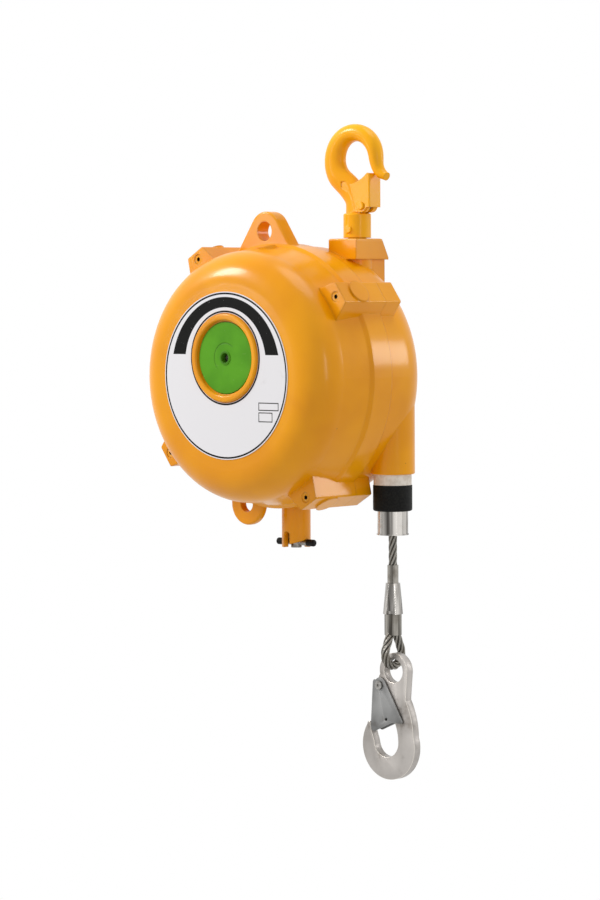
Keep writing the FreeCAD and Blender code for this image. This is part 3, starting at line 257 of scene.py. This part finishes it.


# semi-matt moulding: a shallow ring at one radius, darkened on its upper-left side only as a painted shadow,
# a darker lip round the hole, small specks
def capMoulding(look):
    p = Paint("greenMoulding")
    r = p.reach(*look["centre"])
    ring = r.ease(look["step"] - 0.0004, look["step"]) * r.ease(look["step"] + 0.0004,
                                                                look["step"] + 0.0008, 1.0, 0.0)
    lip = abs(r - look["hole"]).ease(0.0002, 0.0011, 1.0, 0.0)
    specks = p.noise(420.0, 4.0, 0.6).ease(0.7, 0.72)
    scratch = p.noise(30.0, 4.0, 0.7, (1.0, 1.0, 14.0)).ease(0.66, 0.7)
    color = p.mix(p.noise(40.0, 3.0).ease(0.35, 0.65), look["light"], look["deep"])
    # the ring, dark and grooved, is kept only towards the upper left; its dark tone there is a painted
    # shadow in the gap round the disc
    upperLeftShadow = (p.z - look["centre"][1] - p.x + look["centre"][0]).ease(-0.004, 0.006)
    ring = ring * upperLeftShadow
    color = p.mix(0.4 * ring + 0.6 * lip, color, look["dark"])
    color = p.mix(0.6 * specks + 0.25 * scratch, color, look["worn"])
    height = p.noise(600.0, 2.0) * 0.3 - ring + 0.6 * lip
    return p.finish(color, 0.42 + 0.1 * scratch, 0.0, p.bump(height, 0.0002), Specular_IOR_Level=0.15)


dress(capMoulding(capLook), "green_cap")
print("label plate and green cap")


# bare metals
# what a metal has where its own entry says nothing else
plainMetal = {"stain": 60.0, "stained": 0.3, "roughSwing": 0.12, "groove": 0.00004}


# tone varies with a noise drawn out along the grain, which also lifts fine grooves; on the polished sleeves
# the strong dark and light streaks along z are painted reflections
def bareMetal(name, entry):
    p = Paint(name)
    look = {**plainMetal, **entry}
    grain = p.noise(1.0, 3.0, 0.6, look["grain"])
    stain = p.noise(look["stain"], 3.0, 0.6).ease(0.5, 0.75)
    color = p.mix(grain.ease(0.3, 0.7), look["dark"], look["light"])
    color = p.mix(stain * look["stained"], color, look["soil"])
    rough = look["rough"] + look["roughSwing"] * grain + 0.2 * stain
    return p.finish(color, rough, 1.0, p.bump(grain, look["groove"]))


metalLooks = {
    "bearingSteel": ({"light": tone(206, 206, 204), "dark": tone(150, 150, 150),
                      "soil": tone(120, 104, 80), "grain": (30.0, 900.0, 30.0), "rough": 0.22},
                     ["front_bearing", "rear_bearing"]),
    "turnedSteel": ({"light": tone(178, 174, 168), "dark": tone(120, 116, 110),
                     "soil": tone(118, 92, 60), "grain": (30.0, 700.0, 500.0), "rough": 0.3},
                    ["arbor", "worm_shaft", "drum_lid", "lock_collar", "lock_seat", "hook_washer",
                     "hook_nut"]),
    "lockSteel": ({"light": tone(176, 172, 166), "dark": tone(112, 108, 102), "soil": tone(90, 70, 48),
                   "grain": (60.0, 60.0, 900.0), "rough": 0.32}, ["lock_pin", "lock_bar"]),
    "rivetSteel": ({"light": tone(176, 174, 170), "dark": tone(128, 126, 122),
                    "soil": tone(84, 74, 60), "grain": (500.0, 60.0, 500.0), "rough": 0.34,
                    "stained": 0.5}, ["load_latch_pin"]),
    "springSteel": ({"light": tone(124, 122, 126), "dark": tone(66, 66, 74), "soil": tone(92, 72, 50),
                     "grain": (120.0, 60.0, 120.0), "rough": 0.3},
                    ["power_spring", "lock_spring", "hook_latch_spring", "load_latch_spring"]),
    "bushBronze": ({"light": tone(204, 160, 92), "dark": tone(156, 112, 56), "soil": tone(88, 66, 40),
                    "grain": (40.0, 600.0, 40.0), "rough": 0.3},
                   ["worm_wheel", "worm_bushes", "drum_bushes"]),
    "drumCasting": ({"light": tone(176, 176, 174), "dark": tone(128, 128, 126),
                     "soil": tone(96, 90, 80), "grain": (240.0, 240.0, 240.0), "rough": 0.5,
                     "groove": 0.0002}, ["drum"]),
    # polished sleeves: the very dark and light tones in streaks along z are painted reflection bands
    "polishedSleevePaintedReflections": ({"light": tone(218, 214, 208), "dark": tone(50, 47, 43),
                        "soil": tone(120, 108, 92), "grain": (150.0, 150.0, 3.0), "rough": 0.14,
                        "roughSwing": 0.1, "stained": 0.2, "stain": 90.0}, ["stop_sleeve", "cone_sleeve"]),
    "zincSleeve": ({"light": tone(172, 168, 160), "dark": tone(66, 63, 58), "soil": tone(84, 72, 56),
                    "grain": (240.0, 240.0, 14.0), "rough": 0.3, "stained": 0.45},
                   ["small_ferrule", "crimp_sleeve"]),
    "coiledWire": ({"light": tone(166, 164, 158), "dark": tone(84, 82, 76), "soil": tone(78, 66, 48),
                    "grain": (260.0, 260.0, 260.0), "rough": 0.34, "groove": 0.0003}, ["rope_on_drum"]),
}
for metalName, (metalLook, wearers) in metalLooks.items():
    dress(bareMetal(metalName, metalLook), *wearers)
print("bare metals:", len(metalLooks))

screwLook = {"face": -0.0716, "over": tone(232, 160, 40), "bare": tone(30, 28, 25),
             "worn": tone(222, 200, 160)}


# painted over on the head's face, bare black inside the socket, which lies deeper
def screwHeads(look):
    p = Paint("screwHeads")
    deep = p.y.ease(look["face"] + 0.00012, look["face"] + 0.0004)
    grain = p.noise(420.0, 3.0)
    worn = p.noise(900.0, 3.0, 0.6).ease(0.56, 0.62)
    face = p.mix(worn * 0.5, look["over"], look["worn"])
    color = p.mix(deep, face, look["bare"])
    return p.finish(color, 0.34 + 0.2 * grain, 0.0, p.bump(grain, 0.00005), Specular_IOR_Level=0.12)


dress(screwHeads(screwLook), "case_screws")


# rubber, nylon and the lock's grips
# moulded surface: two noises for tone and sheen, with dust gathered where the slow one is high
def moulding(name, look):
    p = Paint(name)
    slow, fine = p.noise(45.0, 3.0, 0.6), p.noise(look["fine"], 2.0)
    dust = slow.ease(0.5, 0.72) * look["dust"]
    color = p.mix(dust, p.mix(fine.ease(0.35, 0.65), look["light"], look["deep"]), look["dustTone"])
    return p.finish(color, look["rough"] + 0.1 * slow, 0.0, p.bump(fine + 0.5 * slow, look["relief"]),
                    Specular_IOR_Level=0.12)


mouldLooks = {
    "bumperRubber": ({"light": tone(24, 24, 22), "deep": tone(12, 12, 11), "dustTone": tone(60, 56, 50),
                      "fine": 700.0, "dust": 0.35, "rough": 0.5, "relief": 0.00008}, ["rubber_bumper"]),
    "guideNylon": ({"light": tone(238, 230, 218), "deep": tone(222, 212, 198),
                    "dustTone": tone(150, 132, 108), "fine": 300.0, "dust": 0.4, "rough": 0.4,
                    "relief": 0.00004}, ["guide_ring"]),
    "gripRubber": ({"light": tone(30, 28, 25), "deep": tone(14, 13, 12), "dustTone": tone(84, 74, 60),
                    "fine": 800.0, "dust": 0.3, "rough": 0.42, "relief": 0.00008}, ["lock_grips"]),
}
for mouldName, (mouldLook, wearers) in mouldLooks.items():
    dress(moulding(mouldName, mouldLook), *wearers)
print("rubber, nylon and grips")

# wire rope
ropeLook = {"strands": 6, "strandRing": 0.00213, "strandRadius": 0.00107, "lay": 0.040,
            "columns": 60, "perLay": 16, "travel": 1.3, "wiresTurn": 0.0040, "wires": 8.0,
            "light": tone(166, 163, 155), "dark": tone(72, 69, 64), "soil": tone(108, 96, 78)}
ropeRoute = {"start": (0.022235, 0.007307, -0.186888), "bendIn": (0.031223, 0.001477, -0.221285),
             "corner": (0.0335, 0.0, -0.230), "bendOut": (0.0335, 0.0, -0.239127),
             "mouth": (0.0335, 0.0, -0.2543), "foot": (0.0335, 0.0, -0.36538)}
eyeRoute = {"x": 0.0335, "crimp": -0.3654, "legs": 0.0033, "centre": -0.3793, "radius": 0.0092}


# Section of the rope: the outer edge of six round strands, so within a sixth of a turn the radius
# is a cos(t) + sqrt(b^2 - a^2 sin^2(t)), with a the strands' ring and b their own radius.
# It is carried along the path on two axes square to it, and turned by a whole turn for each lay.
def strandedMesh(name, path, across, turns):
    look = ropeLook
    cols = look["columns"]
    tangent = np.gradient(path, axis=0)
    tangent /= np.linalg.norm(tangent, axis=1)[:, None]
    side = np.cross(across, tangent)
    side /= np.linalg.norm(side, axis=1)[:, None]
    other = np.cross(tangent, side)
    theta = np.linspace(0, 2 * np.pi, cols, endpoint=False)
    sixth = 2 * np.pi / look["strands"]
    t = (theta + sixth / 2) % sixth - sixth / 2
    a, b = look["strandRing"], look["strandRadius"]
    radius = a * np.cos(t) + np.sqrt(np.maximum(b * b - (a * np.sin(t)) ** 2, 0))
    angle = theta[None, :] + 2 * np.pi * turns[:, None]
    ring = side[:, None, :] * np.cos(angle)[..., None] + other[:, None, :] * np.sin(angle)[..., None]
    points = path[:, None, :] + radius[None, :, None] * ring
    rows = len(path)
    i, j = np.meshgrid(np.arange(rows - 1), np.arange(cols), indexing="ij")
    k = (j + 1) % cols
    quads = np.stack([i * cols + j, i * cols + k, (i + 1) * cols + k, (i + 1) * cols + j], -1)
    faces = quads.reshape(-1, 4).tolist()
    faces += [list(range(cols))[::-1], [(rows - 1) * cols + c for c in range(cols)]]
    mesh = bpy.data.meshes.new(name)
    mesh.from_pydata(points.reshape(-1, 3).tolist(), [], faces)
    crown = np.tile(1 - np.abs(t) / (sixth / 2), rows)
    attribute = mesh.attributes.new("crown", "FLOAT", "POINT")
    attribute.data.foreach_set("value", crown.astype(np.float32))
    wires = (turns[:, None] * look["lay"] / look["wiresTurn"] + (t / sixth * look["wires"])[None, :]).ravel()
    attribute = mesh.attributes.new("wires", "FLOAT", "POINT")
    attribute.data.foreach_set("value", wires.astype(np.float32))
    mesh.validate()
    made = placed(name, mesh)
    faced(mesh)
    mesh.shade_smooth()
    return made


# crowns of the strands are bright and their grooves dark, a painted shade between the strands; a sine along
# "wires" draws the wires, with painted shade between them
def ropeFinish(look):
    p = Paint("wireRope")
    crown = p.node("ShaderNodeAttribute", {"attribute_name": "crown"}, {}, "Fac")
    wires = p.node("ShaderNodeAttribute", {"attribute_name": "wires"}, {}, "Fac")
    wave = (wires * (2 * math.pi)).sine() * 0.5 + 0.5
    soil = p.noise(90.0, 4.0, 0.6).ease(0.45, 0.7)
    # light on the crowns and dark in the grooves between strands and wires: painted shade
    paintedStrandShade = crown.ease(0.05, 0.85) * (0.6 + 0.4 * wave)
    color = p.mix(paintedStrandShade, look["dark"], look["light"])
    color = p.mix(soil * 0.45, color, look["soil"])
    return p.finish(color, 0.34 + 0.2 * soil, 0.85, p.bump(wave * crown, 0.00012))


# Rope from the drum to the crimp. Its bend is a quadratic curve about the corner point. Rows and
# twist are spaced along the rope as it lies when fully drawn out, where the stretch between
# bendOut and mouth is longer by the travel times the eased share t*t*(3-2t).
def straightRope():
    r = {key: np.array(value) for key, value in ropeRoute.items()}
    t = np.linspace(0, 1, 40)[:, None]
    lead = r["start"] + (r["bendIn"] - r["start"]) * t[:-1]
    bend = (1 - t) ** 2 * r["bendIn"] + 2 * t * (1 - t) * r["corner"] + t * t * r["bendOut"]
    fine = np.linspace(0, 1, 1500)[1:, None]
    throat = r["bendOut"] + (r["mouth"] - r["bendOut"]) * fine
    free = r["mouth"] + (r["foot"] - r["mouth"]) * np.linspace(0, 1, 200)[1:, None]
    rest = np.vstack([lead, bend, throat, free])
    share = np.clip((rest[:, 2] - r["bendOut"][2]) / (r["mouth"][2] - r["bendOut"][2]), 0, 1)
    drawn = rest.copy()
    drawn[:, 2] -= ropeLook["travel"] * share * share * (3 - 2 * share)
    run = np.concatenate([[0], np.cumsum(np.linalg.norm(np.diff(drawn, axis=0), axis=1))])
    count = int(run[-1] / ropeLook["lay"] * ropeLook["perLay"])
    at = np.linspace(0, run[-1], count)
    path = np.stack([np.interp(at, run, rest[:, c]) for c in range(3)], 1)
    return strandedMesh("wireRopeRun", path, np.array([0.0, 1.0, 0.0]), at / ropeLook["lay"])


# Rope eye: a leg from the crimp, tangent to a circle, round it and back up
def ropeLoop():
    e = eyeRoute
    rise = e["crimp"] - e["centre"]
    lean = math.atan2(rise, e["legs"]) - math.acos(e["radius"] / math.hypot(e["legs"], rise))
    arc = np.linspace(lean, -math.pi - lean, 90)
    y, z = e["radius"] * np.cos(arc), e["centre"] + e["radius"] * np.sin(arc)
    leg = np.linspace(0, 1, 16)[:-1]
    top = e["crimp"] + 0.0012
    down = np.stack([e["legs"] + (y[0] - e["legs"]) * leg, top + (z[0] - top) * leg], 1)
    route = np.vstack([down, np.stack([y, z], 1), down[::-1] * [-1, 1]])
    path = np.column_stack([np.full(len(route), e["x"]), route])
    run = np.concatenate([[0], np.cumsum(np.linalg.norm(np.diff(path, axis=0), axis=1))])
    return strandedMesh("wireRopeEye", path, np.array([1.0, 0.0, 0.0]), run / ropeLook["lay"])


ropeMaterial = ropeFinish(ropeLook)
rope = straightRope()
rope.data.materials.append(ropeMaterial)
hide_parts("rope_run", "rope_tail")
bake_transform(rope)
loop = ropeLoop()
loop.data.materials.append(ropeMaterial)
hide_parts("rope_eye")
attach(loop, "load_line")
print("wire rope with", len(rope.data.vertices), "points and its eye with", len(loop.data.vertices))

# Coil of the lock, merged and smooth shaded in place of the original; on the balancer its foot stays on the
# seat and its top goes down with the collar
lockCoil = placed("lockCoil", nodes["lock_spring"].data.copy())
faced(lockCoil.data, mergeWithin)
lockCoil.data.shade_smooth()
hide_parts("lock_spring")
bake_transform(lockCoil)

# load hook and its latch
# the edge tones below are painted highlights for the rounded edges
plateLook = {"light": tone(188, 183, 178), "deep": tone(160, 155, 150), "soil": tone(104, 94, 82),
             "edge": tone(222, 216, 206), "bevel": 0.00045}
latchLook = {"light": tone(150, 150, 149), "deep": tone(114, 114, 113), "soil": tone(84, 78, 68),
             "edge": tone(214, 213, 208), "bevel": 0.00025}


# satin plate: slow warm drift, fine tumbling grain, soil in patches; edges take a brighter tone, a painted
# highlight on the rounded edges
def plateFinish(name, look, edge):
    p = Paint(name)
    grain = p.noise(500.0, 3.0, 0.6) + 0.4 * p.noise(130.0, 2.0)
    soil = p.noise(70.0, 4.0, 0.65).ease(0.52, 0.72)
    if edge:
        color = p.mix(soil * 0.3, look["edge"], look["light"])
        return p.finish(color, 0.22 + 0.12 * grain, 0.9, p.bump(grain, 0.00003))
    color = p.mix(p.noise(35.0, 3.0).ease(0.3, 0.7), look["light"], look["deep"])
    color = p.mix(soil * 0.5, color, look["soil"])
    return p.finish(color, 0.36 + 0.16 * grain, 0.75, p.bump(grain, 0.00006))


# degrees: faces within the first are one flat face, and edges sharper than the second are rounded
flatWithin, sharpFrom = 0.6, 35


# copy of a node with its points merged, flat faces joined, and every sharp edge rounded
def eased(node, name, look, body):
    mesh = nodes[node].data.copy()
    faced(mesh, mergeWithin, flatWithin)
    mesh.materials.clear()
    mesh.materials.append(plateFinish(name + "Face", look, False))
    mesh.materials.append(plateFinish(name + "EdgeHighlight", look, True))
    made = placed(name, mesh)
    mesh.shade_smooth()
    rounding = made.modifiers.new("edges", "BEVEL")
    rounding.width, rounding.segments = look["bevel"], 2
    rounding.limit_method, rounding.angle_limit = "ANGLE", math.radians(sharpFrom)
    # the rounded edges take the second material, whose brighter tone is a painted highlight
    rounding.material, rounding.harden_normals = 1, True
    rounding.use_clamp_overlap = True
    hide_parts(node)
    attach(made, body)


eased("load_hook", "hookPlate", plateLook, "load_hook")
eased("load_latch", "latchPlate", latchLook, "load_latch")
print("load hook and latch with rounded edges")

# floor, light and camera
stageLook = {"floor": -2.05, "half": 5.0, "white": 0.97, "tone": tone(246, 246, 246),
             "ambient": 0.57}


# the floor shows mostly plain white to the eye and to reflections, and keeps some shadow
def stageFloor(look):
    p = Paint("studioFloor")
    path = p.tree.nodes.new("ShaderNodeLightPath")
    seen = [Wire(p, path.outputs[key]) for key in ("Is Camera Ray", "Is Glossy Ray", "Is Transmission Ray")]
    shown = (seen[0] + seen[1] + seen[2]).math("MINIMUM", seen[0] + seen[1] + seen[2], 1.0)
    matt = p.node("ShaderNodeBsdfDiffuse", {}, {"Color": rgba(look["tone"])})
    white = p.node("ShaderNodeEmission", {}, {"Color": (1.0, 1.0, 1.0, 1.0), "Strength": 1.0})
    mixed = p.node("ShaderNodeMixShader", {}, {0: shown * look["white"], 1: matt, 2: white})
    p.tree.links.new(mixed.socket, p.output.inputs[0])
    h, z = look["half"], look["floor"]
    mesh = bpy.data.meshes.new("studioFloor")
    mesh.from_pydata([(-h, -h, z), (h, -h, z), (h, h, z), (-h, h, z)], [], [(0, 1, 2, 3)])
    mesh.materials.append(p.material)
    placed("studioFloor", mesh)


stageFloor(stageLook)
world = bpy.data.worlds.new("studioAir")
bpy.context.scene.world = world
world.use_nodes = True
air = world.node_tree
back = air.nodes["Background"]
path = air.nodes.new("ShaderNodeLightPath")
seenBy = ["Is Camera Ray", "Is Glossy Ray", "Is Transmission Ray"]
total = path.outputs[seenBy[0]]
for key in seenBy[1:]:
    most = air.nodes.new("ShaderNodeMath")
    most.operation = "MAXIMUM"
    air.links.new(total, most.inputs[0])
    air.links.new(path.outputs[key], most.inputs[1])
    total = most.outputs[0]
level = air.nodes.new("ShaderNodeMapRange")
level.inputs["To Min"].default_value = stageLook["ambient"]
level.inputs["To Max"].default_value = 1.0
air.links.new(total, level.inputs["Value"])
back.inputs["Color"].default_value = (1.0, 1.0, 1.0, 1.0)
air.links.new(level.outputs[0], back.inputs["Strength"])

lampLooks = {
    "keyLamp": {"place": (-1.37, -1.15, 0.97), "size": (0.5, 0.8), "power": 30.0},
    "fillLamp": {"place": (1.7, -0.7, 0.1), "size": (0.2, 0.7), "power": 2.2},
    "crownLamp": {"place": (0.2, 0.2, 1.4), "size": (1.0, 1.0), "power": 8.0},
    "rimLamp": {"place": (1.28, 1.48, 0.27), "size": (0.45, 0.5), "power": 5.6},
    "blockLamp": {"place": (-1.45, -1.69, 0.0), "size": (0.3, 0.25), "power": 1.6},
}
aim = np.array([-0.03, -0.03, -0.2])
for lampName, look in lampLooks.items():
    data = bpy.data.lights.new(lampName, "AREA")
    data.shape, data.size, data.size_y = "ELLIPSE", look["size"][0], look["size"][1]
    data.energy = look["power"]
    away = np.array(look["place"]) - aim
    away /= np.linalg.norm(away)
    right = np.cross((0.0, 0.0, 1.0), away)
    right /= np.linalg.norm(right)
    up = np.cross(away, right)
    turn = Matrix(np.column_stack([right, up, away]).tolist()).to_4x4()
    turn.translation = look["place"]
    placed(lampName, data).matrix_world = turn

cameraLook = {"place": (1.4638, -1.6906, -0.1136), "forward": (-0.66824, 0.74215, -0.05160),
              "right": (0.74314, 0.66913, 0.0), "roll": 0.3, "lens": 120.0, "sensor": 36.0}
forward, right = np.array(cameraLook["forward"]), np.array(cameraLook["right"])
up = np.cross(right, forward)
tilt = math.radians(cameraLook["roll"])
right, up = math.cos(tilt) * right - math.sin(tilt) * up, math.sin(tilt) * right + math.cos(tilt) * up
lensData = bpy.data.cameras.new("viewCamera")
lensData.lens, lensData.sensor_width = cameraLook["lens"], cameraLook["sensor"]
camera = placed("viewCamera", lensData)
stand = Matrix(np.column_stack([right, up, -forward]).tolist()).to_4x4()
stand.translation = cameraLook["place"]
camera.matrix_world = stand
bpy.context.scene.camera = camera
bpy.context.scene.view_settings.view_transform = "Standard"
print("floor, lamps and camera")

bpy.context.view_layer.update()
